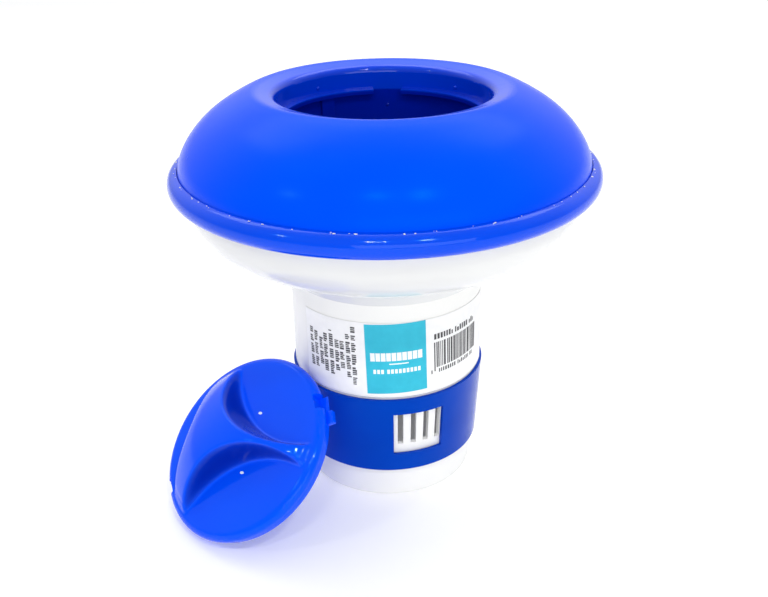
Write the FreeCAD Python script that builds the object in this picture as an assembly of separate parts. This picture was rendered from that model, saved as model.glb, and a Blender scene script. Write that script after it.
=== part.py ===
"""Floating chlorine dispenser: a sealed ring float round a tablet canister, with a
rotating flow ring and a bayonet cap that lies beside it, leaning on the flow ring.

Frame: millimetres, +Z up along the canister's axis, origin on the floor under the canister.
"""
import FreeCAD, Part
import math
import os

V = FreeCAD.Vector
UP = V(0, 0, 1)
ORIGIN = V(0, 0, 0)
FULL_TURN = 360.0
QUARTER = 90.0

# Fits between pieces
SEAT_GAP = 0.1          # round faces of pieces that are assembled for good
RING_GAP = 0.22         # flow ring round the canister
CUT_REACH = 6.0         # how far a cutter reaches past a thin wall
CUT_MARGIN = 1.0

# Float: the clamped rim between the two shells
RIM_R = 63.5            # half of the 5 inch float
BEAD_R = 3.5            # radius of the round clamp bead
RIM_Z = 99.1            # height of the parting plane
SEAL_T = 0.6
FLANGE_T = 1.5
FLANGE_R = 61.8
SHELL_WALL = 1.7

# Float: blue upper shell
DOME_R = 60.3
WELL_R = 31.0
LIP_R = 2.2             # rolled edge at the mouth of the well
LIP_FALL = 14.0         # degrees by which the lip slopes in from the ridge round it
RIDGE_R = 3.0
DOME_CURVE = (          # radius, height and the way that the skin faces, in degrees above level
    (60.3, 100.9, 0.0), (59.4, 105.6, 20.0), (55.5, 111.9, 41.0), (49.0, 117.8, 56.0), (41.0, 122.4, 66.0),
    (38.4, 123.45, 70.0))
SLEEVE_WALL = 1.6
LEDGE_R = 28.8
LEDGE_TOP = 115.6
LEDGE_T = 1.4
NOTCH_HALF_ANGLE = 8.5
NOTCH_AZIMUTHS = (87.4, 267.4)
STOP_LEAD = 37.8        # angle from a notch to the stop that ends the cap's turn
STOP_WIDTH = 4.6
STOP_HEIGHT = 10.0
STOP_DEPTH = 1.2
PIP_R = 0.55
PIP_LEAD = 43.5
PIP_RISE = 2.0
DATUM_PIP_DROP = 5.3

# Float: white lower shell
BOWL_R = 59.1
BOWL_EDGE_Z = 96.0
BOWL_CORE_R = 30.0      # radius where the bowl's ellipse would turn level
BOWL_DROP = 21.0
BOWL_FOOT_R = 38.0
FOOT_INSET = 2.0        # the inner face of the bowl runs this much further in
BOWL_STEPS = 8          # spans of the curve along the bowl
NECK_LIP_R = 30.3
NECK_LIP_Z = 68.2
NECK_WAIST = ((33.1, 72.6), (31.2, 69.8))   # radius and height of the flare down to the lip
COLLAR_WALL = 1.6

# Canister
CAN_BASE_R = 26.9
CAN_SLOPE = 0.0623      # growth of the radius with height, up to the step over the flow ring
CAN_TOP_R = 29.7
CAN_STEP = 0.5
CAN_EDGE_R = 0.8
CAN_WALL = 1.5
CAN_FLOOR = 1.8
CONE_TOP = 37.2
CAN_TOP = 84.0
CAN_FLANGE_R = 33.0
CAN_FLANGE_T = 2.0
NECK_SEAL_T = 1.2
GROUPS = 3              # slot groups and ring windows round the canister
SLOTS_PER_GROUP = 4
SLOT_WIDTH = 1.75
SLOT_PITCH = 8.1       # degrees
SLOT_MIDDLE = 19.1      # degrees from the front, towards +X
SLOT_LOW = 19.9
SLOT_HIGH = 32.0
SNAP_Z = 13.6
SNAP_R = 0.4

# Flow ring
RING_LOW = 10.7
RING_HIGH = 36.8
RING_WALL = 1.0
WINDOW_MIDDLE = 18.0
WINDOW_ANGLE = 30.8
WINDOW_LOW = 16.8
WINDOW_HIGH = 31.6
GROOVE_DEPTH = 0.45
GROOVE_HEIGHT = 1.6

# Label
LABEL_GAP = 0.05
LABEL_T = 0.12
LABEL_LOW = 38.4
LABEL_HIGH = 62.4
LABEL_START = -54.0     # degrees from the front
LABEL_END = 76.0

# Cap, in its own frame: w = 0 on top of the flange, a along the grip's crest
CAP_R = 28.5
CAP_FLANGE_R = 29.2
CAP_DEPTH = 5.6
CAP_WALL = 1.6
CAP_EDGE_R = 2.3        # round shoulder of the flange
CAP_FLANGE_T = 2.9
CAP_STEP = 0.6          # height of the taper from the flange in to the skirt
GRIP_R = 26.3
GRIP_HEIGHT = 10.6
GRIP_SHOULDER_R = 2.0
GRIP_BACK = 18.5        # reach of the grip's rounded back
GRIP_BACK_R = 10.8
SCOOP_R = 30.8
SCOOP_FLARE = 0.15      # growth of a scoop's radius with height
SCOOP_A = 17.8
SCOOP_B = 33.0
HOLLOW_END = 8.0        # the grip is solid past this, where its crest gets thin
LUG_ANGLE = 27.0
LUG_WIDTH = 4.0
LUG_R = 30.7
LUG_T = 1.9
LUG_RAMP = 5.0          # length of the ramp that leads onto the lug
LUG_RAMP_DEPTH = 1.9
CAP_NOTCH_LEAD = 9.5
CAP_NOTCH_WIDTH = 5.0
CAP_NOTCH_DEPTH = 1.9

# Cap's place: its face is turned up and away from the canister
CAP_TILT = 42.2
CAP_AZIMUTH = 221.5
CAP_CREST_TURN = -21.3
CAP_X = -44.9
CAP_Y = -31.5


def from_front(degrees):
    """Angle about Z, counted from the front (-Y) towards +X."""
    return degrees - 90.0


def canister_r(z):
    return CAN_TOP_R if z > CONE_TOP else CAN_BASE_R + CAN_SLOPE * z


def p(r, z):
    return V(r, 0, z)


def line(start, end):
    return Part.makeLine(start, end)


def chain(*points):
    return [line(a, b) for a, b in zip(points, points[1:])]


def arc(start, middle, end):
    return Part.Arc(start, middle, end).toShape()


def spline(points, start_tangent=None, end_tangent=None):
    curve = Part.BSplineCurve()
    if start_tangent:
        curve.interpolate(Points=points, InitialTangent=start_tangent, FinalTangent=end_tangent)
    else:
        curve.interpolate(points)
    return curve.toShape()


def on_circle(centre, radius, degrees):
    turn = math.radians(degrees)
    return centre + V(radius * math.cos(turn), 0, radius * math.sin(turn))


def spin(edges, degrees=FULL_TURN):
    """Solid swept by a closed outline in the XZ plane as it turns about Z."""
    face = Part.Face(Part.Wire(Part.__sortEdges__(edges)))
    return face.revolve(ORIGIN, UP, degrees)


def tube(inner, outer, low, high):
    return spin(chain(p(inner, low), p(outer, low), p(outer, high), p(inner, high), p(inner, low)))


def turned(shape, degrees):
    copy = shape.copy()
    copy.rotate(ORIGIN, UP, degrees)
    return copy


def block(low, high):
    size = high - low
    return Part.makeBox(size.x, size.y, size.z, low)


def sector(inner, outer, low, high, start, sweep):
    """Part of a tube, from one angle about Z through a sweep."""
    ring = chain(p(inner, low), p(outer, low), p(outer, high), p(inner, high), p(inner, low))
    return turned(spin(ring, sweep), start)


# --- float -------------------------------------------------------------------

def dome_points(inset):
    """Outside of the blue shell from the rim up to the ridge, moved in by a wall."""
    return [p(r, z) - on_circle(ORIGIN, inset, facing) for r, z, facing in DOME_CURVE]


def ridge_centre():
    r, z, facing = DOME_CURVE[-1]
    return p(r, z) - on_circle(ORIGIN, RIDGE_R, facing)


def lip_centre():
    """Centre of the rolled edge, which the slope from the ridge runs into."""
    facing = QUARTER + LIP_FALL
    slope_top = on_circle(ridge_centre(), RIDGE_R, facing)
    on_roll = on_circle(p(WELL_R + LIP_R, 0), LIP_R, facing)
    fall = (slope_top.x - on_roll.x) * math.tan(math.radians(LIP_FALL))
    return p(WELL_R + LIP_R, slope_top.z - fall - on_roll.z)


def lip_edges(start):
    """From the dome over the ridge, down the slope and round the rolled edge to the well."""
    facing = QUARTER + LIP_FALL
    ridge, roll = ridge_centre(), lip_centre()
    ridge_end = on_circle(ridge, RIDGE_R, facing)
    roll_start = on_circle(roll, LIP_R, facing)
    edges = [arc(start, on_circle(ridge, RIDGE_R, (DOME_CURVE[-1][2] + facing) / 2), ridge_end)]
    edges += chain(ridge_end, roll_start)
    edges += [arc(roll_start, on_circle(roll, LIP_R, (facing + 2 * QUARTER) / 2), p(WELL_R, roll.z))]
    return edges


def float_top_shell():
    flange_low = RIM_Z + SEAL_T / 2
    flange_top = flange_low + FLANGE_T
    sleeve_low = CAN_TOP + CAN_FLANGE_T + NECK_SEAL_T
    sleeve_r = WELL_R + SLEEVE_WALL
    outer = dome_points(0)
    inner = dome_points(SHELL_WALL)
    wall_top = lip_centre().z
    ledge_low = LEDGE_TOP - LEDGE_T
    edges = chain(p(inner[0].x, flange_low), p(FLANGE_R, flange_low), p(FLANGE_R, flange_top), outer[0])
    edges += [spline(outer, UP, on_circle(ORIGIN, 1, DOME_CURVE[-1][2] + QUARTER))]
    edges += lip_edges(outer[-1])
    edges += chain(p(WELL_R, wall_top), p(WELL_R, LEDGE_TOP), p(LEDGE_R, LEDGE_TOP), p(LEDGE_R, ledge_low),
                   p(WELL_R, ledge_low), p(WELL_R, sleeve_low), p(sleeve_r, sleeve_low),
                   p(sleeve_r, wall_top), inner[-1])
    edges += [spline(inner)]
    edges += chain(inner[0], p(inner[0].x, flange_low))
    shell = spin(edges)
    for azimuth in NOTCH_AZIMUTHS:
        shell = shell.cut(bayonet_notch(azimuth))
        shell = shell.fuse(turn_stop(azimuth + STOP_LEAD))
        shell = shell.fuse(pip(azimuth, LEDGE_TOP - DATUM_PIP_DROP))
        for side in (-1, 1):
            shell = shell.fuse(pip(azimuth + side * PIP_LEAD, LEDGE_TOP + PIP_RISE))
    return shell.removeSplitter()


def bayonet_notch(azimuth):
    low = LEDGE_TOP - LEDGE_T - CUT_MARGIN
    return sector(LEDGE_R - CUT_MARGIN, WELL_R, low, LEDGE_TOP + CUT_MARGIN, azimuth - NOTCH_HALF_ANGLE,
                  2 * NOTCH_HALF_ANGLE)


def turn_stop(azimuth):
    top = LEDGE_TOP - LEDGE_T
    stop = block(V(WELL_R - STOP_DEPTH, -STOP_WIDTH / 2, top - STOP_HEIGHT),
                 V(WELL_R + SLEEVE_WALL / 2, STOP_WIDTH / 2, top))
    return turned(stop, azimuth)


def pip(azimuth, z):
    return turned(Part.makeSphere(PIP_R, V(WELL_R, 0, z)), azimuth)


def bowl_edge(inset, inner_end):
    """Elliptical outside of the white shell, from the rim in to the foot of the bowl."""
    across = BOWL_R - BOWL_CORE_R - inset
    down = BOWL_DROP - inset
    points = []
    last = math.acos((inner_end - BOWL_CORE_R) / across)
    for i in range(BOWL_STEPS + 1):
        turn = last * i / BOWL_STEPS
        points.append(p(BOWL_CORE_R + across * math.cos(turn), BOWL_EDGE_Z - down * math.sin(turn)))
    return points


def float_bottom_shell():
    flange_top = RIM_Z - SEAL_T / 2
    flange_low = flange_top - FLANGE_T
    collar_r = canister_r(CAN_TOP) + SEAT_GAP
    collar_out = collar_r + COLLAR_WALL
    outer = bowl_edge(0, BOWL_FOOT_R)
    inner = bowl_edge(SHELL_WALL, BOWL_FOOT_R - FOOT_INSET)
    neck = [outer[-1]] + [p(r, z) for r, z in NECK_WAIST] + [p(NECK_LIP_R, NECK_LIP_Z)]
    edges = chain(p(inner[0].x, flange_top), p(FLANGE_R, flange_top), p(FLANGE_R, flange_low),
                  p(BOWL_R, flange_low), outer[0])
    edges += [spline(outer), spline(neck)]
    edges += chain(neck[-1], p(collar_r, NECK_LIP_Z), p(collar_r, CAN_TOP), p(collar_out, CAN_TOP),
                   p(collar_out, inner[-1].z + SHELL_WALL / 2), inner[-1])
    edges += [spline(inner)]
    edges += chain(inner[0], p(inner[0].x, flange_top))
    return spin(edges)


def rim_ring():
    centre = p(RIM_R - BEAD_R, RIM_Z)
    pocket_r = FLANGE_R + 2 * SEAT_GAP
    pocket_half = SEAL_T / 2 + FLANGE_T + SEAT_GAP
    top_r = DOME_R + SEAT_GAP
    low_r = BOWL_R + SEAT_GAP
    top_lip = p(top_r, RIM_Z + math.sqrt(BEAD_R ** 2 - (top_r - centre.x) ** 2))
    low_lip = p(low_r, RIM_Z - math.sqrt(BEAD_R ** 2 - (low_r - centre.x) ** 2))
    edges = [arc(top_lip, p(RIM_R, RIM_Z), low_lip)]
    edges += chain(low_lip, p(low_r, RIM_Z - pocket_half), p(pocket_r, RIM_Z - pocket_half),
                   p(pocket_r, RIM_Z + pocket_half), p(top_r, RIM_Z + pocket_half), top_lip)
    return spin(edges)


def rim_seal():
    return tube(DOME_R - SHELL_WALL, FLANGE_R, RIM_Z - SEAL_T / 2, RIM_Z + SEAL_T / 2)


def neck_seal():
    low = CAN_TOP + CAN_FLANGE_T
    return tube(WELL_R, WELL_R + SLEEVE_WALL, low, low + NECK_SEAL_T)


# --- canister ----------------------------------------------------------------

def tablet_canister():
    top = CAN_TOP + CAN_FLANGE_T
    corner = p(canister_r(0) - CAN_EDGE_R, CAN_EDGE_R)
    rim_r = canister_r(CAN_TOP)
    edges = chain(ORIGIN, p(corner.x, 0))
    edges += [arc(p(corner.x, 0), on_circle(corner, CAN_EDGE_R, -45), p(canister_r(0), CAN_EDGE_R))]
    step_top = CONE_TOP + CAN_STEP
    edges += chain(p(canister_r(0), CAN_EDGE_R), p(canister_r(CONE_TOP), CONE_TOP), p(rim_r, step_top),
                   p(rim_r, CAN_TOP), p(CAN_FLANGE_R, CAN_TOP), p(CAN_FLANGE_R, top),
                   p(rim_r - CAN_WALL, top), p(rim_r - CAN_WALL, step_top),
                   p(canister_r(CONE_TOP) - CAN_WALL, CONE_TOP),
                   p(canister_r(CAN_FLOOR) - CAN_WALL, CAN_FLOOR), p(0, CAN_FLOOR), ORIGIN)
    cup = spin(edges)
    cup = cup.fuse(Part.makeTorus(canister_r(SNAP_Z), SNAP_R, p(0, SNAP_Z)))
    for group in range(GROUPS):
        for azimuth in slot_azimuths(group):
            cup = cup.cut(slot(azimuth))
    return cup


def slot_azimuths(group):
    middle = SLOT_MIDDLE + group * FULL_TURN / GROUPS
    first = middle - SLOT_PITCH * (SLOTS_PER_GROUP - 1) / 2
    return [first + SLOT_PITCH * i for i in range(SLOTS_PER_GROUP)]


def slot(azimuth):
    cutter = block(V(CAN_BASE_R - CUT_REACH, -SLOT_WIDTH / 2, SLOT_LOW),
                   V(CAN_BASE_R + CUT_REACH, SLOT_WIDTH / 2, SLOT_HIGH))
    return turned(cutter, from_front(azimuth))


# --- flow ring ---------------------------------------------------------------

def flow_ring():
    inner_low = canister_r(RING_LOW) + RING_GAP
    inner_high = canister_r(RING_HIGH) + RING_GAP
    band = spin(chain(p(inner_low, RING_LOW), p(inner_low + RING_WALL, RING_LOW),
                      p(inner_high + RING_WALL, RING_HIGH), p(inner_high, RING_HIGH),
                      p(inner_low, RING_LOW)))
    groove_r = canister_r(SNAP_Z) + RING_GAP + GROOVE_DEPTH
    groove = tube(CAN_BASE_R, groove_r, SNAP_Z - GROOVE_HEIGHT / 2, SNAP_Z + GROOVE_HEIGHT / 2)
    band = band.cut(groove)
    for group in range(GROUPS):
        middle = from_front(WINDOW_MIDDLE + group * FULL_TURN / GROUPS)
        band = band.cut(sector(CAN_BASE_R, CAN_BASE_R + CUT_REACH, WINDOW_LOW, WINDOW_HIGH,
                               middle - WINDOW_ANGLE / 2, WINDOW_ANGLE))
    return band


def product_label():
    inner = canister_r(CAN_TOP) + LABEL_GAP
    return sector(inner, inner + LABEL_T, LABEL_LOW, LABEL_HIGH, from_front(LABEL_START),
                  LABEL_END - LABEL_START)


# --- cap ---------------------------------------------------------------------

def grip(wall, foot):
    """The domed grip between its two finger scoops; wall moves every face in, foot reaches down."""
    radius = GRIP_R - wall
    stem = chain(p(0, GRIP_HEIGHT - wall), p(0, -foot), p(radius, -foot), p(radius, 0))
    body = spin(dome_outline(wall) + stem)
    body = body.common(rounded_back(wall, foot))
    for side in (-1, 1):
        body = body.cut(scoop(side, wall, foot))
    return body


def dome_outline(wall):
    """A wide crown arc that runs into a small shoulder arc, which stands upright on the flange."""
    reach = GRIP_R - GRIP_SHOULDER_R
    crown_r = (reach ** 2 + GRIP_HEIGHT ** 2 - GRIP_SHOULDER_R ** 2) / (2 * (GRIP_HEIGHT - GRIP_SHOULDER_R))
    crown = p(0, GRIP_HEIGHT - crown_r)
    shoulder = p(reach, 0)
    meet = math.degrees(math.atan2(-crown.z, reach))
    shoulder_r = GRIP_SHOULDER_R - wall
    top_r = crown_r - wall
    join = on_circle(shoulder, shoulder_r, meet)
    return [arc(on_circle(shoulder, shoulder_r, 0), on_circle(shoulder, shoulder_r, meet / 2), join),
            arc(join, on_circle(crown, top_r, (meet + 90) / 2), on_circle(crown, top_r, 90))]


def scoop(side, wall, foot):
    low_r = SCOOP_R + wall
    high_r = low_r + SCOOP_FLARE * GRIP_HEIGHT
    profile = chain(p(0, -foot), p(low_r, -foot), p(low_r, 0), p(high_r, GRIP_HEIGHT), p(0, GRIP_HEIGHT),
                    p(0, -foot))
    cone = spin(profile)
    cone.translate(V(SCOOP_A, side * SCOOP_B, 0))
    return cone


def rounded_back(wall, foot):
    """Bar across the cap that rounds off the grip's back."""
    bend_r = GRIP_BACK_R - wall
    centre = V(wall + bend_r - GRIP_BACK, -GRIP_R, 0)
    back = centre - V(bend_r, 0, 0)
    top = centre + V(0, 0, bend_r)
    far = V(GRIP_R, -GRIP_R, -foot)
    outline = [arc(back, on_circle(centre, bend_r, 135), top)]
    outline += chain(top, V(far.x, far.y, top.z), far, V(back.x, back.y, -foot), back)
    return Part.Face(Part.Wire(outline)).extrude(V(0, 2 * GRIP_R, 0))


def cap_disc():
    edge = p(CAP_FLANGE_R - CAP_EDGE_R, -CAP_EDGE_R)
    flange_low = -CAP_FLANGE_T
    inside = CAP_R - CAP_WALL
    edges = chain(p(0, 0), p(edge.x, 0))
    edges += [arc(p(edge.x, 0), on_circle(edge, CAP_EDGE_R, 45), p(CAP_FLANGE_R, edge.z))]
    edges += chain(p(CAP_FLANGE_R, edge.z), p(CAP_FLANGE_R, flange_low), p(CAP_R, flange_low - CAP_STEP),
                   p(CAP_R, -CAP_DEPTH), p(inside, -CAP_DEPTH), p(inside, -CAP_WALL), p(0, -CAP_WALL),
                   p(0, 0))
    return spin(edges)


def lug(angle):
    """Bayonet lug at the foot of the skirt, with the ramp that draws the cap down."""
    low = -CAP_DEPTH
    inner = CAP_R - CAP_WALL / 2
    tab = block(V(inner, -LUG_WIDTH / 2, low), V(LUG_R, LUG_WIDTH / 2, low + LUG_T))
    ramp_points = [V(inner, LUG_WIDTH / 2, low + LUG_T), V(inner, LUG_WIDTH / 2 + LUG_RAMP, low + LUG_T),
                   V(inner, LUG_WIDTH / 2, low + LUG_T / 2)]
    ramp = Part.Face(Part.makePolygon(ramp_points + ramp_points[:1])).extrude(V(LUG_RAMP_DEPTH, 0, 0))
    return turned(tab.fuse(ramp), angle)


def rim_notch(angle):
    cutter = block(V(CAP_FLANGE_R - CAP_NOTCH_DEPTH, -CAP_NOTCH_WIDTH / 2, -CAP_DEPTH + LUG_T),
                   V(CAP_FLANGE_R + CUT_MARGIN, CAP_NOTCH_WIDTH / 2, CUT_MARGIN))
    return turned(cutter, angle)


def cap_placement():
    """Tilts the cap's face away from the canister and stands its skirt's edge on the floor."""
    tilt = math.radians(CAP_TILT)
    lift = CAP_R * math.sin(tilt) + CAP_DEPTH * math.cos(tilt)
    lean = FreeCAD.Rotation(UP, CAP_AZIMUTH).multiply(FreeCAD.Rotation(V(0, 1, 0), CAP_TILT))
    normal = lean.multVec(UP)
    level = V(1, 0, 0) - normal * normal.x
    crest = lean.multVec(V(1, 0, 0))
    across = normal.cross(crest)
    turn = math.degrees(math.atan2(level.dot(across), level.dot(crest)))
    spun = lean.multiply(FreeCAD.Rotation(UP, turn + CAP_CREST_TURN))
    return FreeCAD.Placement(V(CAP_X, CAP_Y, lift), spun)


def cap():
    body = cap_disc().fuse(grip(0, CAP_WALL / 2))
    reach = block(V(-GRIP_R, -GRIP_R, -CAP_DEPTH), V(HOLLOW_END, GRIP_R, GRIP_HEIGHT))
    body = body.cut(grip(CAP_WALL, CAP_DEPTH).common(reach))
    for half_turn in (0, 180):
        body = body.cut(rim_notch(LUG_ANGLE + CAP_NOTCH_LEAD + half_turn))
        body = body.fuse(lug(LUG_ANGLE + half_turn))
    body = body.removeSplitter()
    body.Placement = cap_placement()
    return body


def main():
    os.makedirs("parts", exist_ok=True)
    for make in (float_top_shell, float_bottom_shell, rim_ring, rim_seal, neck_seal, tablet_canister,
                 flow_ring, product_label, cap):
        shape = make()
        shape.exportStep("parts/" + make.__name__ + ".step")
        print(make.__name__, shape.ShapeType, len(shape.Solids), shape.isValid(), round(shape.Volume))


main()
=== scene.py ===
"""Floating chlorine dispenser: finishes, printed label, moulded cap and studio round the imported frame."""
import math
import random

import bmesh
import bpy
import numpy as np
from mathutils import Matrix, Vector


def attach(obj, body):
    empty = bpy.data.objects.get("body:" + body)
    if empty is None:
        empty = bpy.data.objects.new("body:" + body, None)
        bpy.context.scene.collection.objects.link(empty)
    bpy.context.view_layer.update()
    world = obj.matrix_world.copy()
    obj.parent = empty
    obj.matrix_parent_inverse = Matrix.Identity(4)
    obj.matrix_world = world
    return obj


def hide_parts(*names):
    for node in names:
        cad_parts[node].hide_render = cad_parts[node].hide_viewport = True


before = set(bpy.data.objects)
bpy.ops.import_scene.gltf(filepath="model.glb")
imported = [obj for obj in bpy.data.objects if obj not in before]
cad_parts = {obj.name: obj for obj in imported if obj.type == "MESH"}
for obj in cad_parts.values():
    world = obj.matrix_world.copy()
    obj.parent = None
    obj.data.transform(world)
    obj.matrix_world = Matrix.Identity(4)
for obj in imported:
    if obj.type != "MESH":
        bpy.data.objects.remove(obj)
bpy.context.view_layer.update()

MM = 0.001

# Camera: place in metres, turns in radians, lens and sensor in millimetres
CAMERA_PLACE = (-0.00088, -0.2671, 0.18565)
CAMERA_DROP = 0.4520    # below level
CAMERA_ROLL = -0.018
CAMERA_LENS = 43.92
CAMERA_CLIP = (0.01, 20.0)
SENSOR = 36.0

# Cap, in millimetres and degrees. In its own frame a runs along the grip's crest and b across it,
# and height 0 is on top of the flange. The underside lies at negative heights.
CAP_TILT = 42.2         # of its flange from level
CAP_AZIMUTH = 221.5     # the way its top faces, from +X towards +Y
CAP_CREST_TURN = -21.3  # of its crest from level
CAP_X = -44.9
CAP_Y = -31.5
CAP_R = 28.5
CAP_FLANGE_R = 29.2
CAP_DEPTH = 5.6
CAP_WALL = 1.6
EDGE_R = 2.3            # round shoulder of the flange
FLANGE_FOOT = 2.9
FLANGE_BEVEL = (0.1, 0.12)      # inwards and upwards
STEP_FOOT = 3.5
STEP_TAPER = 0.06
NOTCH_FOOT = 0.03       # a notch ends this far above the lugs' tops
FOOT_R = 0.4            # round edges of the wall's foot
FOOT_CUT = 0.12
ROOF_R = 0.6            # round corner between the wall and the roof
ROOF_CUT = 0.18
GRIP_R = 26.3
GRIP_HEIGHT = 10.6
GRIP_SHOULDER_R = 2.0
GRIP_BACK = 18.5        # the grip's round back ends at this much behind the middle
GRIP_BACK_R = 10.8
SCOOP_A = 17.8          # middle and radius of the round scoop on each side of the crest
SCOOP_B = 33.0
SCOOP_R = 30.8
SCOOP_FLARE = 0.15      # how far a scoop's wall leans back for each millimetre of height
SOFTEN = 0.45           # spread of the moulding's rounded corners
HOLLOW_END = 8.0        # the grip is hollow underneath as far as this along a
LUG_ANGLE = 27.0
LUG_WIDTH = 4.0
LUG_R = 30.7
LUG_T = 1.9
LUG_BEVEL = 0.25
LUG_RAMP = 5.0
RAMP_OVERLAP = 0.5
RAMP_TIP_T = 0.55
RAMP_OUT = 1.1
NOTCH_LEAD = 9.5        # from a lug to its notch
NOTCH_HALF_WIDTH = 2.5
NOTCH_R = 27.3
NOTCH_MIDDLE = math.radians(LUG_ANGLE + NOTCH_LEAD)
NOTCH_HALF_TURN = math.asin(NOTCH_HALF_WIDTH / CAP_R)
NOTCH_EDGE_TURN = 0.002     # radians either side of a notch's side
SHARP_ANGLE = 50

# How finely the cap is measured and meshed, in millimetres and counts
GRID_STEP = 0.15
GRID_MARGIN = 4
BLUR_REACH = 3          # in spreads
WALL_RINGS = 4          # samples that keep the grip's wall one thickness
WALL_TURNS = 16
TURN_STEPS = 400
TOP_STEP = 0.2
SHOULDER_RINGS = 16
ROOF_STEP = 0.45
ROOF_END = 0.4
STEEP_MARGIN = 1        # the flange's shoulder and the underside stay out of the steepness

PAINTED_GLINTS = ((3.2, 10.4), (4.6, -8.4))     # painted glints: small pale ovals on the scoop floors
GLINT_LENGTH = 0.75
GLINT_WIDTH = 0.42
GLINT_T = 0.04
GLINT_STEPS = 16

# Label, in millimetres and in degrees from the front towards +X
LABEL_R = 29.87
LABEL_LEAN = 1.5        # the label is stuck on a little askew
LABEL_MIDDLE = (4.8, 51.0)
INK_T = 0.03
PATCH_COLUMN = 1.5      # widest flat strip of ink
PRINT_SEED = 7

# Patches: two sides, foot and head. A row of blocks gives those of its first block, its pitch and count.
PANEL = (-12.7, 22.1, 39.2, 62.2)
PANEL_RULE = (0.5, 11.5, 49.0, 49.35)
LARGE_BLOCKS = (-10.0, -7.45, 50.2, 52.9, 3.0, 10)
SMALL_BLOCKS = (-8.6, -7.1, 46.0, 47.4, 2.2, 12)
SMALL_BLOCKS_WORD = 3   # blocks before the gap
SMALL_BLOCKS_GAP = 1.2

# Rows of grey strokes up the label: azimuth and half length
STROKE_COLUMNS = ((-19.5, 9.4), (-22.9, 7.1), (-26.7, 4.4), (-30.0, 5.5), (-33.8, 7.2), (-37.9, 6.7),
                  (-41.2, 4.9), (-45.2, 6.3), (-49.0, 6.4))
STROKE_MIDDLE = 51.2
STROKE_WIDTH = 2.6
STROKE_WORD = (1.6, 4.2)
STROKE_SIZE = (0.28, 0.62)
STROKE_CUT = (0.0, 0.0, 0.25)       # share taken off one side
STROKE_GAP = 0.2
STROKE_WORD_GAP = 0.7

# Rows of grey strokes round the label: two sides, foot and head, word lengths and stroke lengths
LINE_OVER_BARS = ((27.2, 60.0, 54.9, 56.7), (8.0, 14.0), (0.9, 1.5))
LINE_UNDER_BARS = ((30.0, 59.5, 43.5, 44.8), (9.0, 12.0), (0.7, 1.1))
LINE_CUT = (0.0, 0.0, 0.3)          # share taken off the head
LINE_GAP = 0.7
LINE_WORD_GAP = 1.2
FIRST_STROKE = (25.0, 25.7, 43.5, 44.8)

# Meaningless pattern of bars
BARS_START = 27.0
BARS_END = 61.6
BAR_WIDTHS = (0.5, 0.5, 0.8, 0.8, 1.3, 2.1)
BAR_GAPS = (0.4, 0.4, 0.7, 1.1)
BAR_HEAD = 53.9
BAR_FOOT = 45.4
LONG_BAR_FOOT = 44.2
LONG_BARS = (28.4, 60.4)            # before the first of these and past the second

# Specks of weld flash in the crevice above the rim bead, in millimetres
FLASH_R = 60.75
FLASH_Z = 102.45
FLASH_COUNT = 90
FLASH_SIZE = (0.07, 0.2)
FLASH_LARGE = 1.7
FLASH_LARGE_SHARE = 0.12
FLASH_OUT = (-0.15, 0.5)
FLASH_UP = (-0.1, 0.15)
FLASH_STRETCH = (0.9, 2.4)
FLASH_FLATTEN = 0.8
FLASH_LUMP = 0.22
FLASH_SEED = 11

# Where the top shell's finish and its painted shade in the well change, in metres
# The well is painted darker as painted shade: full under the ledge, part way on the upper wall, fading out
# past the well's edge.
WELL_LEDGE_Z = 0.1156
WELL_LEDGE_FADE = 0.0006
WELL_FADE_R = (0.0311, 0.0335)
LIP_FADE_R = (0.0355, 0.0380)
UPPER_WALL_SHADE = 0.55
LIP_COAT = 0.6
GRIP_STEEP = (0.25, 0.9)            # the painted shade on the grip's walls starts at the first steepness and is full at the second

# Noise: scale, detail and stretch
COAT_PATCHES = (45.0,)
FLOW_MARKS = (28.0, 2.0, (1.0, 1.0, 2.2))
SCUFFS = (900.0, 4.0, (0.15, 1.0, 0.6))
HANDLING = (60.0, 4.0)
ORANGE_PEEL = (420.0, 2.0)
PAPER_MOTTLE = (350.0, 5.0)
PAPER_FIBRES = (1500.0, 3.0, (1.0, 1.0, 0.2))
PAPER_WAVES = (70.0, 2.0)
FLOOR_MOTTLE = (6.0,)

SCUFF_ROUGH = 0.03
SCUFF_RANGE = (0.62, 0.75)
PEEL_STRENGTH = 0.25
COAT_ROUGH = 0.04
PAPER_ROUGH = (0.3, 0.42)
PAPER_WAVE_STRENGTH = 0.3
PAPER_WAVE_HEIGHT = 0.00006
PAPER_GLOSS = 0.35

WHITE = (1.0, 1.0, 1.0)
BLUE_GLOSS = (0.0, 0.6, 1.0)        # the tinted plastic's own colour stays in its gloss

# Studio, in metres, degrees and watts
FLOOR_HALF = 4.0
FLOOR_Z = -0.00005
FLOOR_DULL = (0.93, 0.93, 0.93)
FLOOR_BRIGHT = (0.95, 0.95, 0.95)
FLOOR_ROUGH = 0.9
FLOOR_GLOSS = 0.1
FLOOR_GLOW = 0.15
LIGHT_TARGET = (0, 0, 0.08)
# Name, azimuth from the front towards +X, elevation, distance, size and power
LIGHTS = (("back_strip", 180, 60, 1.1, (1.6, 0.5), 5.1),
          ("front_box", 14, 14, 1.2, (1.3, 0.5), 4.4),
          ("left_lamp", -60, 40, 1.2, (0.07, 0.03), 0.9),
          ("front_lamp", -6, 52, 1.2, (0.16, 0.025), 1.4),
          ("cap_lamp", 25, 50, 1.2, (0.1, 0.08), 2.2))
ROOM_COLOUR = (0.98, 0.985, 1.0, 1.0)
ROOM_BY_DEPTH = (0.42, 1.0, -0.3, 0.5)      # least, most, and the direction's Y where each is reached
ROOM_BY_HEIGHT = (0.6, 1.1, 0.05, 0.5)      # the same against its Z


# --- node helpers ------------------------------------------------------------

def node(tree, kind, **values):
    made = tree.nodes.new(kind)
    for key, value in values.items():
        if key in made.inputs:
            made.inputs[key].default_value = value
        else:
            setattr(made, key, value)
    return made


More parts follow.
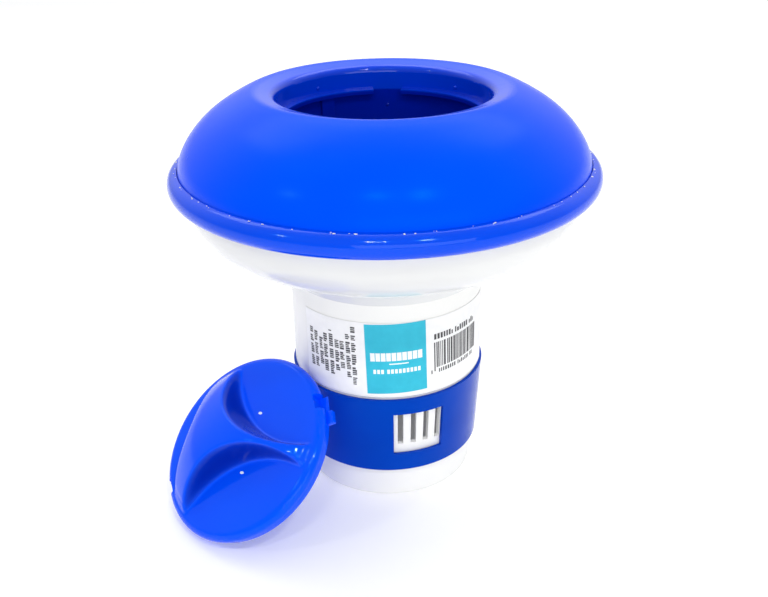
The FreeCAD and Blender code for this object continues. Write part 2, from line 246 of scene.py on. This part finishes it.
def noise(tree, coords, scale, detail=3.0, stretch=None):
    made = node(tree, "ShaderNodeTexNoise", Scale=scale, Detail=detail)
    source = coords.outputs["Object"]
    if stretch:
        mapping = node(tree, "ShaderNodeMapping", Scale=stretch)
        tree.links.new(source, mapping.inputs["Vector"])
        source = mapping.outputs["Vector"]
    tree.links.new(source, made.inputs["Vector"])
    return made.outputs["Fac"]


def spread(tree, value, low, high, start=0.3, end=0.7):
    """Maps a value onto a range: low at start, high at end."""
    made = tree.nodes.new("ShaderNodeMapRange")
    for key, number in (("From Min", start), ("From Max", end), ("To Min", low), ("To Max", high)):
        made.inputs[key].default_value = number
    tree.links.new(value, made.inputs["Value"])
    return made.outputs["Result"]


def combined(tree, operation, first, second):
    made = node(tree, "ShaderNodeMath", operation=operation)
    tree.links.new(first, made.inputs[0])
    tree.links.new(second, made.inputs[1])
    return made.outputs[0]


def colour_between(tree, factor, low, high):
    made = node(tree, "ShaderNodeMix", data_type="RGBA")
    first, second = [socket for socket in made.inputs if socket.type == "RGBA"]
    first.default_value = (*low, 1.0)
    second.default_value = (*high, 1.0)
    tree.links.new(factor, made.inputs["Factor"])
    return [socket for socket in made.outputs if socket.type == "RGBA"][0]


def colour_towards(tree, factor, colour, target):
    """Moves a colour that is already in the tree towards a fixed one."""
    mixed = colour_between(tree, factor, target, target)
    first = [socket for socket in mixed.node.inputs if socket.type == "RGBA"][0]
    tree.links.new(colour, first)
    return mixed


def add_bump(tree, shader, height, strength, distance):
    made = node(tree, "ShaderNodeBump", Strength=strength, Distance=distance)
    tree.links.new(height, made.inputs["Height"])
    tree.links.new(made.outputs["Normal"], shader.inputs["Normal"])


def new_material(name):
    mat = bpy.data.materials.new(name)
    mat.use_nodes = True
    tree = mat.node_tree
    return mat, tree, tree.nodes["Principled BSDF"], tree.nodes.new("ShaderNodeTexCoord")


# --- materials ---------------------------------------------------------------

def away_from_axis(tree, coords):
    """Distance from the object's upright axis."""
    flat = node(tree, "ShaderNodeVectorMath", operation="MULTIPLY")
    flat.inputs[1].default_value = (1.0, 1.0, 0.0)
    tree.links.new(coords.outputs["Object"], flat.inputs[0])
    away = node(tree, "ShaderNodeVectorMath", operation="LENGTH")
    tree.links.new(flat.outputs["Vector"], away.inputs[0])
    return away.outputs["Value"]


def painted_well_shade(tree, coords):
    """Painted shade in the well: 0 on the dome, part way on the well's upper wall and 1 under its ledge."""
    split = tree.nodes.new("ShaderNodeSeparateXYZ")
    tree.links.new(coords.outputs["Object"], split.inputs["Vector"])
    deeper = spread(tree, split.outputs["Z"], 1.0, UPPER_WALL_SHADE,
                    WELL_LEDGE_Z - WELL_LEDGE_FADE, WELL_LEDGE_Z)
    inside = spread(tree, away_from_axis(tree, coords), 1.0, 0.0, *WELL_FADE_R)
    return combined(tree, "MULTIPLY", inside, deeper)


def lip_polish(tree, coords):
    """The mould is polished at the lip only."""
    return spread(tree, away_from_axis(tree, coords), LIP_COAT, 0.0, *LIP_FADE_R)


def patchy_polish(low, high):
    return lambda tree, coords: spread(tree, noise(tree, coords, *COAT_PATCHES), low, high)


def painted_grip_shade(tree, coords):
    """Painted shade on the grip's walls, from the mesh's own measure of how steeply they stand."""
    steep = node(tree, "ShaderNodeAttribute", attribute_name="steep")
    return spread(tree, steep.outputs["Fac"], 0.0, 1.0, *GRIP_STEEP)


def moulded(name, deep, light, rough=(0.14, 0.22), gloss=0.4, grain=0.00002, tint=WHITE,
            depth=None, shade_colour=WHITE, polish=None, ior=1.5):
    """Injection-moulded plastic: slow flow marks in the colour, uneven gloss, orange peel and fine scuffs.

    The colour turns to a darker painted shade where depth says so, and polish says how much clear coat there
    is.
    """
    mat, tree, shader, coords = new_material(name)
    colour = colour_between(tree, spread(tree, noise(tree, coords, *FLOW_MARKS), 0.0, 1.0), deep, light)
    if depth:
        colour = colour_towards(tree, depth(tree, coords), colour, shade_colour)
    tree.links.new(colour, shader.inputs["Base Color"])
    handling = spread(tree, noise(tree, coords, *HANDLING), *rough)
    scuffs = spread(tree, noise(tree, coords, *SCUFFS), 0.0, SCUFF_ROUGH, *SCUFF_RANGE)
    tree.links.new(combined(tree, "ADD", handling, scuffs), shader.inputs["Roughness"])
    add_bump(tree, shader, noise(tree, coords, *ORANGE_PEEL), PEEL_STRENGTH, grain)
    shader.inputs["Specular IOR Level"].default_value = gloss
    shader.inputs["Specular Tint"].default_value = (*tint, 1.0)
    shader.inputs["IOR"].default_value = ior
    if polish:
        shader.inputs["Coat Roughness"].default_value = COAT_ROUGH
        tree.links.new(polish(tree, coords), shader.inputs["Coat Weight"])
    return mat


def paper(name, deep, light):
    """Coated label paper: faint mottle, fibres in the gloss and a slight waviness."""
    mat, tree, shader, coords = new_material(name)
    mottle = spread(tree, noise(tree, coords, *PAPER_MOTTLE), 0.0, 1.0)
    tree.links.new(colour_between(tree, mottle, deep, light), shader.inputs["Base Color"])
    fibres = spread(tree, noise(tree, coords, *PAPER_FIBRES), *PAPER_ROUGH)
    tree.links.new(fibres, shader.inputs["Roughness"])
    add_bump(tree, shader, noise(tree, coords, *PAPER_WAVES), PAPER_WAVE_STRENGTH, PAPER_WAVE_HEIGHT)
    shader.inputs["Specular IOR Level"].default_value = PAPER_GLOSS
    return mat


# Top shell: the well is painted a darker blue, a painted shade.
FLOAT_BLUE = moulded("float_blue", (0.0, 0.070, 0.92), (0.0, 0.079, 0.98), rough=(0.2, 0.26), gloss=0.2,
                     tint=BLUE_GLOSS, depth=painted_well_shade, shade_colour=(0.0, 0.010, 0.34), polish=lip_polish, ior=1.3)
RIM_BLUE = moulded("rim_blue", (0.0, 0.056, 0.72), (0.0, 0.066, 0.80), rough=(0.1, 0.16), gloss=0.3,
                   tint=BLUE_GLOSS, polish=patchy_polish(0.28, 0.4), ior=1.35)
# Cap: the grip's steep walls are painted a darker blue, a painted shade.
CAP_BLUE = moulded("cap_blue", (0.0, 0.074, 0.96), (0.0, 0.084, 1.0), rough=(0.12, 0.18), gloss=0.3,
                   tint=BLUE_GLOSS, depth=painted_grip_shade, shade_colour=(0.0, 0.010, 0.28),
                   polish=patchy_polish(0.15, 0.25), ior=1.35)
RING_BLUE = moulded("ring_blue", (0.0, 0.042, 0.43), (0.0, 0.050, 0.49), rough=(0.14, 0.2), gloss=0.3,
                    tint=BLUE_GLOSS, ior=1.35)
FLOAT_WHITE = moulded("float_white", (0.72, 0.725, 0.715), (0.76, 0.765, 0.755), rough=(0.12, 0.2))
CANISTER_WHITE = moulded("canister_white", (0.88, 0.88, 0.86), (0.92, 0.92, 0.90), rough=(0.16, 0.26))
# Pale finish of the painted glints on the cap's scoop floors.
GLINT_FINISH = moulded("painted_glint_finish", (0.80, 0.92, 1.0), (0.9, 0.96, 1.0), rough=(0.1, 0.2))
SEAL_BLACK = moulded("seal_rubber", (0.03, 0.03, 0.03), (0.05, 0.05, 0.05), rough=(0.55, 0.7), gloss=0.3,
                     grain=0.00008)
LABEL_PAPER = paper("label_paper", (0.88, 0.885, 0.89), (0.93, 0.93, 0.935))
INK_CYAN = paper("ink_cyan", (0.018, 0.46, 0.63), (0.025, 0.51, 0.68))
INK_WHITE = paper("ink_white", (0.88, 0.93, 0.95), (0.93, 0.96, 0.97))
INK_GREY = paper("ink_grey", (0.045, 0.045, 0.05), (0.07, 0.07, 0.075))
NODE_FINISH = {"float_top_shell": FLOAT_BLUE, "float_bottom_shell": FLOAT_WHITE, "rim_ring": RIM_BLUE,
               "rim_seal": SEAL_BLACK, "neck_seal": SEAL_BLACK, "tablet_canister": CANISTER_WHITE,
               "flow_ring": RING_BLUE, "product_label": LABEL_PAPER, "cap": CAP_BLUE}


def finish_nodes():
    for name, mat in NODE_FINISH.items():
        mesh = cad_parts[name].data
        mesh.materials.clear()
        mesh.materials.append(mat)


# --- mesh helpers ------------------------------------------------------------

def mesh_object(name, points, faces, mats, face_mats=None, smooth=True):
    mesh = bpy.data.meshes.new(name)
    mesh.from_pydata([tuple(point) for point in points], [], faces)
    for mat in mats:
        mesh.materials.append(mat)
    if face_mats:
        mesh.polygons.foreach_set("material_index", face_mats)
    mesh.polygons.foreach_set("use_smooth", [smooth] * len(faces))
    mesh.update()
    return linked(name, mesh)


def linked(name, data):
    """New object in the scene."""
    made = bpy.data.objects.new(name, data)
    bpy.context.scene.collection.objects.link(made)
    return made


# --- cap ---------------------------------------------------------------------

def cap_matrix():
    """The cap's own frame in the row frame."""
    tilt = math.radians(CAP_TILT)
    lift = CAP_R * math.sin(tilt) + CAP_DEPTH * math.cos(tilt)
    lean = Matrix.Rotation(math.radians(CAP_AZIMUTH), 3, "Z") @ Matrix.Rotation(tilt, 3, "Y")
    normal, crest = lean @ Vector((0, 0, 1)), lean @ Vector((1, 0, 0))
    level = Vector((1, 0, 0)) - normal * normal.x
    turn = math.atan2(level.dot(normal.cross(crest)), level.dot(crest)) + math.radians(CAP_CREST_TURN)
    spun = lean @ Matrix.Rotation(turn, 3, "Z")
    return Matrix.Translation(Vector((CAP_X, CAP_Y, lift)) * MM) @ spun.to_4x4() @ Matrix.Scale(MM, 4)


def blurred(field, spread_mm):
    reach = int(BLUR_REACH * spread_mm / GRID_STEP)
    weights = np.exp(-0.5 * (np.arange(-reach, reach + 1) * GRID_STEP / spread_mm) ** 2)
    weights /= weights.sum()
    for axis in (0, 1):
        field = sum(w * np.roll(field, k - reach, axis) for k, w in enumerate(weights))
    return field


def grip_height(a, b):
    """Height of the grip over the flange: a dome between two scooped sides and a rounded back."""
    r = np.hypot(a, b)
    reach = GRIP_R - GRIP_SHOULDER_R
    crown_r = (reach ** 2 + GRIP_HEIGHT ** 2 - GRIP_SHOULDER_R ** 2) / (2 * (GRIP_HEIGHT - GRIP_SHOULDER_R))
    crown = GRIP_HEIGHT - crown_r + np.sqrt(np.maximum(0, crown_r ** 2 - r ** 2))
    shoulder = np.where(r < reach, GRIP_HEIGHT,
                        np.sqrt(np.maximum(0, GRIP_SHOULDER_R ** 2 - np.maximum(0, r - reach) ** 2)))
    into_back = np.maximum(0, GRIP_BACK_R - GRIP_BACK - a)
    back = np.where(into_back > 0, np.sqrt(np.maximum(0, GRIP_BACK_R ** 2 - into_back ** 2)), GRIP_HEIGHT)
    walls = [(np.hypot(a - SCOOP_A, b - side * SCOOP_B) - SCOOP_R) / SCOOP_FLARE for side in (-1, 1)]
    return np.maximum(0, np.minimum.reduce([crown, shoulder, back, *walls]))


def cap_fields():
    """Top and hollow underside of the grip on one square grid."""
    axis = np.arange(-GRIP_R - GRID_MARGIN, GRIP_R + GRID_MARGIN, GRID_STEP)
    a, b = np.meshgrid(axis, axis, indexing="ij")
    top = blurred(grip_height(a, b), SOFTEN)
    low = top - CAP_WALL
    for k in range(1, WALL_RINGS + 1):
        away = CAP_WALL * k / WALL_RINGS
        drop = math.sqrt(max(0.0, CAP_WALL ** 2 - away ** 2))
        for side in range(WALL_TURNS):
            turn = 2 * math.pi * side / WALL_TURNS
            step = [round(away * part / GRID_STEP) for part in (math.cos(turn), math.sin(turn))]
            low = np.minimum(low, np.roll(top, step, (0, 1)) - drop)
    low = np.where(a < HOLLOW_END, low, -CAP_WALL)
    return axis, top, blurred(np.maximum(low, -CAP_WALL), SOFTEN)


def sample(axis, field, a, b):
    """Reads the grid between its points."""
    i, j = (a - axis[0]) / GRID_STEP, (b - axis[0]) / GRID_STEP
    i0, j0 = np.floor(i).astype(int), np.floor(j).astype(int)
    u, v = i - i0, j - j0
    return ((1 - u) * (1 - v) * field[i0, j0] + u * (1 - v) * field[i0 + 1, j0]
            + (1 - u) * v * field[i0, j0 + 1] + u * v * field[i0 + 1, j0 + 1])


def cap_turns():
    """Angles round the cap, closer together at the sides of its two notches."""
    turns = list(np.linspace(0, 2 * math.pi, TURN_STEPS, endpoint=False))
    for opposite in (0, math.pi):
        for side in (-1, 1):
            turns += [NOTCH_MIDDLE + opposite + side * (NOTCH_HALF_TURN + gap)
                      for gap in (-NOTCH_EDGE_TURN, NOTCH_EDGE_TURN)]
    return np.array(sorted(turns))


def in_notch(turns):
    away = np.abs((turns - NOTCH_MIDDLE + math.pi / 2) % math.pi - math.pi / 2)
    return away < NOTCH_HALF_TURN


def cap_rings(turns, axis, top, low):
    """Closed skin of the cap, ring by ring from the middle of the top round to the middle underneath."""
    cos, sin, notch = np.cos(turns), np.sin(turns), in_notch(turns)
    rings = []

    def ring(radius, z, cut=False):
        r = np.full(len(turns), float(radius))
        if cut:
            r = np.where(notch, np.minimum(r, NOTCH_R), r)
        height = z(r * cos, r * sin) if callable(z) else np.full(len(turns), float(z))
        rings.append(np.stack([r * cos, r * sin, height], 1))

    edge = CAP_FLANGE_R - EDGE_R
    for radius in np.arange(TOP_STEP, edge, TOP_STEP):
        ring(radius, lambda a, b: sample(axis, top, a, b))
    for turn in np.linspace(0, math.pi / 2, SHOULDER_RINGS):
        drop = EDGE_R * (1 - math.cos(turn))
        ring(edge + EDGE_R * math.sin(turn), lambda a, b, d=drop: sample(axis, top, a, b) - d, cut=True)
    ring(CAP_FLANGE_R, FLANGE_BEVEL[1] - FLANGE_FOOT, cut=True)
    ring(CAP_FLANGE_R - FLANGE_BEVEL[0], -FLANGE_FOOT, cut=True)
    ring(CAP_R + STEP_TAPER, -STEP_FOOT, cut=True)
    ring(CAP_R, LUG_T - CAP_DEPTH + NOTCH_FOOT, cut=True)
    ring(CAP_R, LUG_T - CAP_DEPTH)
    inner = CAP_R - CAP_WALL
    for radius, z in ((CAP_R, FOOT_R - CAP_DEPTH), (CAP_R - FOOT_CUT, FOOT_CUT - CAP_DEPTH),
                      (CAP_R - FOOT_R, -CAP_DEPTH), (inner + FOOT_R, -CAP_DEPTH),
                      (inner + FOOT_CUT, FOOT_CUT - CAP_DEPTH), (inner, FOOT_R - CAP_DEPTH),
                      (inner, -CAP_WALL - ROOF_R), (inner - ROOF_CUT, -CAP_WALL - ROOF_CUT)):
        ring(radius, z)
    for radius in np.arange(inner - ROOF_R, ROOF_END, -ROOF_STEP):
        ring(radius, lambda a, b: sample(axis, low, a, b))
    return rings


def skin(rings, first, last):
    """Faces between rings of equal length, closed by a fan at each end."""
    count = len(rings[0])
    points = np.concatenate([[first], *rings, [last]])
    pairs = [(k, (k + 1) % count) for k in range(count)]
    faces = [(0, 1 + k, 1 + n) for k, n in pairs]
    for i in range(len(rings) - 1):
        here, there = 1 + i * count, 1 + (i + 1) * count
        faces += [(here + k, there + k, there + n, here + n) for k, n in pairs]
    end, base = len(points) - 1, 1 + (len(rings) - 1) * count
    faces += [(end, base + n, base + k) for k, n in pairs]
    return points, faces


def add_prism(bm, outline, low, high, matrix):
    """Closed prism with small rounded edges."""
    made = [[bm.verts.new(matrix @ Vector((x, y, z))) for x, y in outline] for z in (low, high)]
    faces = [bm.faces.new(made[1]), bm.faces.new(made[0][::-1])]
    count = len(outline)
    for k in range(count):
        n = (k + 1) % count
        faces.append(bm.faces.new((made[0][k], made[0][n], made[1][n], made[1][k])))
    edges = list(dict.fromkeys(edge for face in faces for edge in face.edges))
    bmesh.ops.bevel(bm, geom=edges, offset=LUG_BEVEL, segments=3, profile=0.5, affect="EDGES")


def add_lug(bm, angle):
    """Lug with the ramp that draws the cap into its bayonet."""
    inner, half, top = CAP_R - CAP_WALL / 2, LUG_WIDTH / 2, LUG_T - CAP_DEPTH
    turn = Matrix.Rotation(math.radians(angle), 4, "Z")
    add_prism(bm, ((inner, -half), (LUG_R, -half), (LUG_R, half), (inner, half)), -CAP_DEPTH, top, turn)
    lie = Matrix(((0, 0, 1, 0), (1, 0, 0, 0), (0, 1, 0, 0), (0, 0, 0, 1)))
    root, tip = half - RAMP_OVERLAP, half + LUG_RAMP
    ramp = ((root, top), (root, top - LUG_T / 2), (tip, top - RAMP_TIP_T), (tip, top))
    add_prism(bm, ramp, inner, CAP_R + RAMP_OUT, turn @ lie)


def mark_steep(mesh, points, facing):
    """Stores how steeply the grip stands at each point, for the painted shade on its walls."""
    steep = mesh.attributes.new("steep", "FLOAT", "POINT")
    for vertex, (a, b, height) in zip(mesh.vertices, points):
        on_grip = math.hypot(a, b) < GRIP_R - STEEP_MARGIN and height > -STEEP_MARGIN
        steep.data[vertex.index].value = 1 - abs(vertex.normal.dot(facing)) if on_grip else 0.0


def build_cap():
    axis, top, low = cap_fields()
    rings = cap_rings(cap_turns(), axis, top, low)
    middle = np.array([0.0])
    crown = sample(axis, top, middle, middle)[0]
    roof = sample(axis, low, middle, middle)[0]
    points, faces = skin(rings, (0, 0, crown), (0, 0, roof))
    bm = bmesh.new()
    for half_turn in (0, 180):
        add_lug(bm, LUG_ANGLE + half_turn)
    bm.verts.index_update()
    start = len(points)
    points = np.concatenate([points, [tuple(v.co) for v in bm.verts]])
    faces += [tuple(start + v.index for v in face.verts) for face in bm.faces]
    bm.free()
    matrix = cap_matrix()
    made = mesh_object("cap_moulding", [matrix @ Vector(point) for point in points], faces, [CAP_BLUE])
    made.data.set_sharp_from_angle(angle=math.radians(SHARP_ANGLE))
    mark_steep(made.data, points, (matrix.to_3x3() @ Vector((0, 0, 1))).normalized())
    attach(made, "loose_cap")
    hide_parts("cap")


def build_painted_glints():
    """Painted glints: small pale ovals on the two scoop floors."""
    matrix = cap_matrix()
    points, faces = [], []
    for a, b in PAINTED_GLINTS:
        base = len(points)
        upper = base + GLINT_STEPS
        for height in (-GLINT_T, GLINT_T):
            for k in range(GLINT_STEPS):
                turn = 2 * math.pi * k / GLINT_STEPS
                along, across = GLINT_LENGTH * math.cos(turn), GLINT_WIDTH * math.sin(turn)
                points.append(matrix @ Vector((a + along, b + across, height)))
        faces.append(tuple(base + k for k in reversed(range(GLINT_STEPS))))
        faces.append(tuple(upper + k for k in range(GLINT_STEPS)))
        for k in range(GLINT_STEPS):
            after = (k + 1) % GLINT_STEPS
            faces.append((base + k, base + after, upper + after, upper + k))
    made = mesh_object("cap_painted_glints", points, faces, [GLINT_FINISH], smooth=False)
    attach(made, "loose_cap")


# --- label print -------------------------------------------------------------

class Print:
    """Patches of ink that follow the label round the canister."""

    def __init__(self):
        self.points, self.faces, self.mats = [], [], []

    def patch(self, start, end, low, high, mat, layer=1):
        columns = max(1, math.ceil((end - start) / PATCH_COLUMN))
        base = len(self.points)
        for depth in (0, 1):
            radius = (LABEL_R + INK_T * (layer - 1 + depth)) * MM
            for k in range(columns + 1):
                for z in (low, high):
                    self.points.append(self.placed(start + (end - start) * k / columns, z, radius))
        back = base + 2 * (columns + 1)
        made = []
        for k in range(columns):
            i, o = base + 2 * k, back + 2 * k
            made += [(o, o + 2, o + 3, o + 1), (i, i + 1, i + 3, i + 2),
                     (i, i + 2, o + 2, o), (i + 1, o + 1, o + 3, i + 3)]
        last_in, last_out = base + 2 * columns, back + 2 * columns
        made += [(base, back, back + 1, base + 1), (last_in, last_in + 1, last_out + 1, last_out)]
        self.faces += made
        self.mats += [mat] * len(made)

    def placed(self, azimuth, z, radius):
        """A point of the print after the whole label is turned a little on the canister."""
        lean, arc = math.radians(LABEL_LEAN), math.radians(1) * LABEL_R
        along, up = (azimuth - LABEL_MIDDLE[0]) * arc, z - LABEL_MIDDLE[1]
        turn = math.radians(LABEL_MIDDLE[0] + (along * math.cos(lean) - up * math.sin(lean)) / arc)
        height = LABEL_MIDDLE[1] + up * math.cos(lean) + along * math.sin(lean)
        return radius * math.sin(turn), -radius * math.cos(turn), height * MM

    def blocks(self, start, end, low, high, pitch, count, mat, word=0, gap=0.0):
        """Row of equal blocks on top of the panel, with a gap after the first word."""
        for k in range(count):
            shift = gap if k >= word else 0.0
            self.patch(k * pitch + start + shift, k * pitch + end + shift, low, high, mat, 2)

    def marks_up(self, azimuth, half, draw, mat):
        """Word-like row of short strokes that runs up the label."""
        z, top = STROKE_MIDDLE - half, STROKE_MIDDLE + half
        while z < top:
            word = z + draw.uniform(*STROKE_WORD)
            while z < min(word, top):
                size = draw.uniform(*STROKE_SIZE)
                right = azimuth + STROKE_WIDTH * (0.5 - draw.choice(STROKE_CUT))
                self.patch(azimuth - STROKE_WIDTH / 2, right, z, z + size, mat)
                z += size + STROKE_GAP
            z += STROKE_WORD_GAP

    def marks_along(self, place, word, size, draw, mat):
        """Word-like row of short strokes that runs round the label."""
        turn, end, low, high = place
        while turn < end:
            stop = min(turn + draw.uniform(*word), end)
            while turn < stop:
                wide = min(draw.uniform(*size), end - turn)
                drop = draw.choice(LINE_CUT) * (high - low)
                self.patch(turn, turn + wide, low, high - drop, mat)
                turn += wide + LINE_GAP
            turn += LINE_WORD_GAP


def build_print():
    """Plain panel, strokes and bars. None of them spells anything."""
    draw = random.Random(PRINT_SEED)
    ink = Print()
    cyan, white, grey = 0, 1, 2
    ink.patch(*PANEL, cyan)
    ink.blocks(*LARGE_BLOCKS, white)
    ink.patch(*PANEL_RULE, white, 2)
    ink.blocks(*SMALL_BLOCKS, white, SMALL_BLOCKS_WORD, SMALL_BLOCKS_GAP)
    for azimuth, half in STROKE_COLUMNS:
        ink.marks_up(azimuth, half, draw, grey)
    ink.marks_along(*LINE_OVER_BARS, draw, grey)
    turn = BARS_START
    while turn < BARS_END:
        wide = draw.choice(BAR_WIDTHS)
        low = LONG_BAR_FOOT if turn < LONG_BARS[0] or turn > LONG_BARS[1] else BAR_FOOT
        ink.patch(turn, turn + wide, low, BAR_HEAD, grey)
        turn += wide + draw.choice(BAR_GAPS)
    ink.marks_along(*LINE_UNDER_BARS, draw, grey)
    ink.patch(*FIRST_STROKE, grey)
    made = mesh_object("label_print", ink.points, ink.faces, [INK_CYAN, INK_WHITE, INK_GREY], ink.mats,
                       smooth=False)
    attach(made, "float")


# --- weld flash --------------------------------------------------------------

def build_flash():
    """Irregular specks of weld flash in the crevice between the blue shell and the rim bead."""
    draw = random.Random(FLASH_SEED)
    bm = bmesh.new()
    for _ in range(FLASH_COUNT):
        turn = math.radians(draw.uniform(0, 360))
        size = draw.uniform(*FLASH_SIZE) * (FLASH_LARGE if draw.random() < FLASH_LARGE_SHARE else 1.0)
        radius = FLASH_R + draw.uniform(*FLASH_OUT)
        z = FLASH_Z + draw.uniform(*FLASH_UP)
        speck = bmesh.ops.create_icosphere(bm, subdivisions=2, radius=size)
        long_way = draw.uniform(*FLASH_STRETCH)
        for vert in speck["verts"]:
            lump = 1 + draw.uniform(-FLASH_LUMP, FLASH_LUMP)
            local = Vector((vert.co.x, vert.co.y * long_way, vert.co.z * FLASH_FLATTEN)) * lump
            local.rotate(Matrix.Rotation(turn, 3, "Z"))
            vert.co = (local + Vector((radius * math.cos(turn), radius * math.sin(turn), z))) * MM
    mesh = bpy.data.meshes.new("weld_flash")
    bm.to_mesh(mesh)
    bm.free()
    mesh.materials.append(FLOAT_WHITE)
    mesh.polygons.foreach_set("use_smooth", [True] * len(mesh.polygons))
    made = linked("weld_flash", mesh)
    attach(made, "float")


# --- studio ------------------------------------------------------------------

def floor_finish():
    mat, tree, shader, coords = new_material("floor_white")
    mottle = spread(tree, noise(tree, coords, *FLOOR_MOTTLE), 0.0, 1.0)
    tree.links.new(colour_between(tree, mottle, FLOOR_DULL, FLOOR_BRIGHT), shader.inputs["Base Color"])
    shader.inputs["Roughness"].default_value = FLOOR_ROUGH
    shader.inputs["Specular IOR Level"].default_value = FLOOR_GLOSS
    shader.inputs["Emission Color"].default_value = (*WHITE, 1.0)
    shader.inputs["Emission Strength"].default_value = FLOOR_GLOW
    return mat


def build_floor():
    corners = ((-1, -1), (1, -1), (1, 1), (-1, 1))
    points = [(x * FLOOR_HALF, y * FLOOR_HALF, FLOOR_Z) for x, y in corners]
    made = mesh_object("floor", points, [(0, 1, 2, 3)], [floor_finish()], smooth=False)


def build_lights():
    target = Vector(LIGHT_TARGET)
    for name, azimuth, elevation, distance, size, power in LIGHTS:
        data = bpy.data.lights.new(name, "AREA")
        data.shape = "RECTANGLE"
        data.size, data.size_y = size
        data.energy = power
        a, e = math.radians(azimuth), math.radians(elevation)
        way = Vector((math.sin(a) * math.cos(e), -math.cos(a) * math.cos(e), math.sin(e)))
        made = linked(name, data)
        made.location = target + way * distance
        made.rotation_euler = (target - made.location).to_track_quat("-Z", "Y").to_euler()


def build_world():
    """Soft white room, dimmer behind the camera and towards the horizon."""
    world = bpy.data.worlds.new("studio")
    bpy.context.scene.world = world
    world.use_nodes = True
    tree = world.node_tree
    back = tree.nodes["Background"]
    coords = tree.nodes.new("ShaderNodeTexCoord")
    split = tree.nodes.new("ShaderNodeSeparateXYZ")
    tree.links.new(coords.outputs["Generated"], split.inputs["Vector"])
    room = combined(tree, "MULTIPLY", spread(tree, split.outputs["Y"], *ROOM_BY_DEPTH),
                    spread(tree, split.outputs["Z"], *ROOM_BY_HEIGHT))
    tree.links.new(room, back.inputs["Strength"])
    back.inputs["Color"].default_value = ROOM_COLOUR


def build_camera():
    data = bpy.data.cameras.new("camera")
    data.lens = CAMERA_LENS
    data.sensor_width = SENSOR
    data.clip_start, data.clip_end = CAMERA_CLIP
    made = linked("camera", data)
    look = Matrix.Rotation(math.pi / 2 - CAMERA_DROP, 4, "X") @ Matrix.Rotation(CAMERA_ROLL, 4, "Z")
    made.matrix_world = Matrix.Translation(CAMERA_PLACE) @ look
    bpy.context.scene.camera = made


finish_nodes()
build_cap()
build_painted_glints()
build_print()
build_flash()
build_floor()
build_lights()
build_world()
build_camera()
bpy.context.scene.view_settings.view_transform = "Standard"
